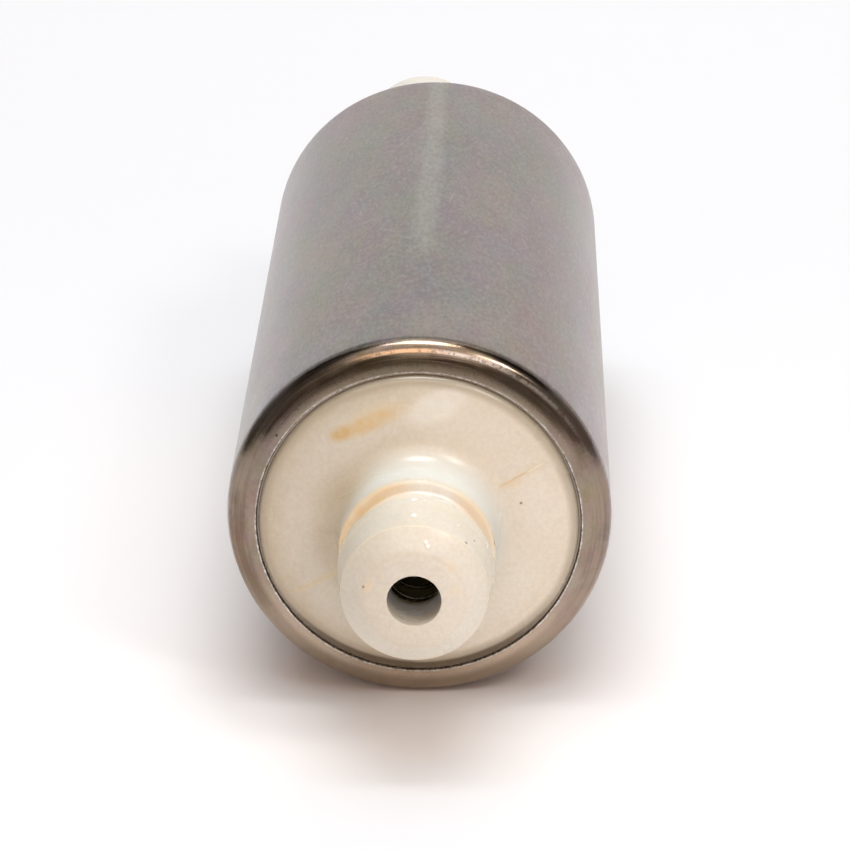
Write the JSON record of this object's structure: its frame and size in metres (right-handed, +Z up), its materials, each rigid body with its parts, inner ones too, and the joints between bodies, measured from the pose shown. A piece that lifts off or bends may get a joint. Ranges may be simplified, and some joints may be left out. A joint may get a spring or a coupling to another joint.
{
  "type": "electric fuel pump",
  "caption": "Cylindrical in-line electric fuel pump: plated steel can, cream delivery spigot with check valve, gerotor pump, DC motor, rear inlet spigot and connector.",
  "frame": {"origin": "on the can's axis, at the middle of its length", "axes": "+Y along the can's axis away from the delivery spigot, +Z up, +X to the right seen from the delivery spigot"},
  "size_m": [0.043, 0.1368, 0.043],
  "materials": {
    "can_steel": "dull zinc plate",
    "cover_plastic": "glossy cream moulding, stained by fuel",
    "seal_rubber": "smooth",
    "brass": "turned",
    "spring_steel": "drawn wire",
    "plate_aluminium": "machined",
    "sintered_steel": "sintered and ground",
    "ground_steel": "ground",
    "bronze": "sintered, oil filled",
    "insulation": "moulded",
    "lamination_steel": "stacked and varnished",
    "copper_wire": "enamelled wire",
    "copper": "bare copper",
    "brush_carbon": "pressed carbon",
    "holder_plastic": "glass filled moulding",
    "flux_steel": "phosphated steel tube",
    "ferrite": "pressed ferrite",
    "terminal_brass": "tinned"
  },
  "bodies": {
    "housing": {"can": "can_steel", "front_cover": "cover_plastic", "rear_cover": "cover_plastic", "front_seal": "seal_rubber", "rear_seal": "seal_rubber", "valve_seat": "brass", "valve_spring": "spring_steel", "outlet_plate": "plate_aluminium", "inlet_plate": "plate_aluminium", "pump_ring": "sintered_steel", "pack_screws": "ground_steel", "front_bearing": "bronze", "rear_bearing": "bronze", "relief_spring": "spring_steel", "relief_plug": "brass", "brush_spring_left": "spring_steel", "brush_spring_right": "spring_steel", "brush_lead_left": "copper", "brush_lead_right": "copper", "brush_holder": "holder_plastic", "flux_ring": "flux_steel", "magnet_upper": "ferrite", "magnet_lower": "ferrite", "magnet_clips": "spring_steel", "terminal_negative": "terminal_brass", "terminal_positive": "terminal_brass"},
    "armature": {"shaft": "ground_steel", "inner_rotor": "sintered_steel", "drive_key": "ground_steel", "front_thrust_washer": "insulation", "rear_thrust_washer": "insulation", "lamination_stack": "lamination_steel", "front_insulator": "insulation", "rear_insulator": "insulation", "windings": "copper_wire", "commutator_hub": "insulation", "commutator_segments": "copper"},
    "outer_rotor": {"outer_rotor": "sintered_steel"},
    "valve_plunger": {"valve_plunger": "brass"},
    "relief_ball": {"relief_ball": "ground_steel"},
    "brush_left": {"brush_left": "brush_carbon"},
    "brush_right": {"brush_right": "brush_carbon"}
  },
  "joints": [
    {"name": "armature_spin", "type": "hinge", "parent": "housing", "child": "armature", "pos_m": [0, 0, 0], "axis": [0, 1, 0], "continuous": true},
    {"name": "outer_rotor_spin", "type": "hinge", "parent": "housing", "child": "outer_rotor", "pos_m": [0.0012, 0, 0], "axis": [0, 1, 0], "continuous": true},
    {"name": "check_valve_lift", "type": "slide", "parent": "housing", "child": "valve_plunger", "axis": [0, -1, 0], "range_m": [0, 0.002], "stiffness_N_per_m": 290, "springref_m": -0.0035, "deforming": ["valve_spring"]},
    {"name": "relief_valve_lift", "type": "slide", "parent": "housing", "child": "relief_ball", "axis": [0, 1, 0], "range_m": [0, 0.001], "stiffness_N_per_m": 3200, "springref_m": -0.00072, "deforming": ["relief_spring"]},
    {"name": "brush_left_slide", "type": "slide", "parent": "housing", "child": "brush_left", "axis": [0, 1, 0], "range_m": [0, 0.0015], "stiffness_N_per_m": 220, "springref_m": -0.0036, "deforming": ["brush_spring_left", "brush_lead_left"]},
    {"name": "brush_right_slide", "type": "slide", "parent": "housing", "child": "brush_right", "axis": [0, 1, 0], "range_m": [0, 0.0015], "stiffness_N_per_m": 220, "springref_m": -0.0036, "deforming": ["brush_spring_right", "brush_lead_right"]}
  ],
  "couplings": [
    {"joint": "outer_rotor_spin", "follows": "armature_spin", "ratio": 0.85714}
  ]
}
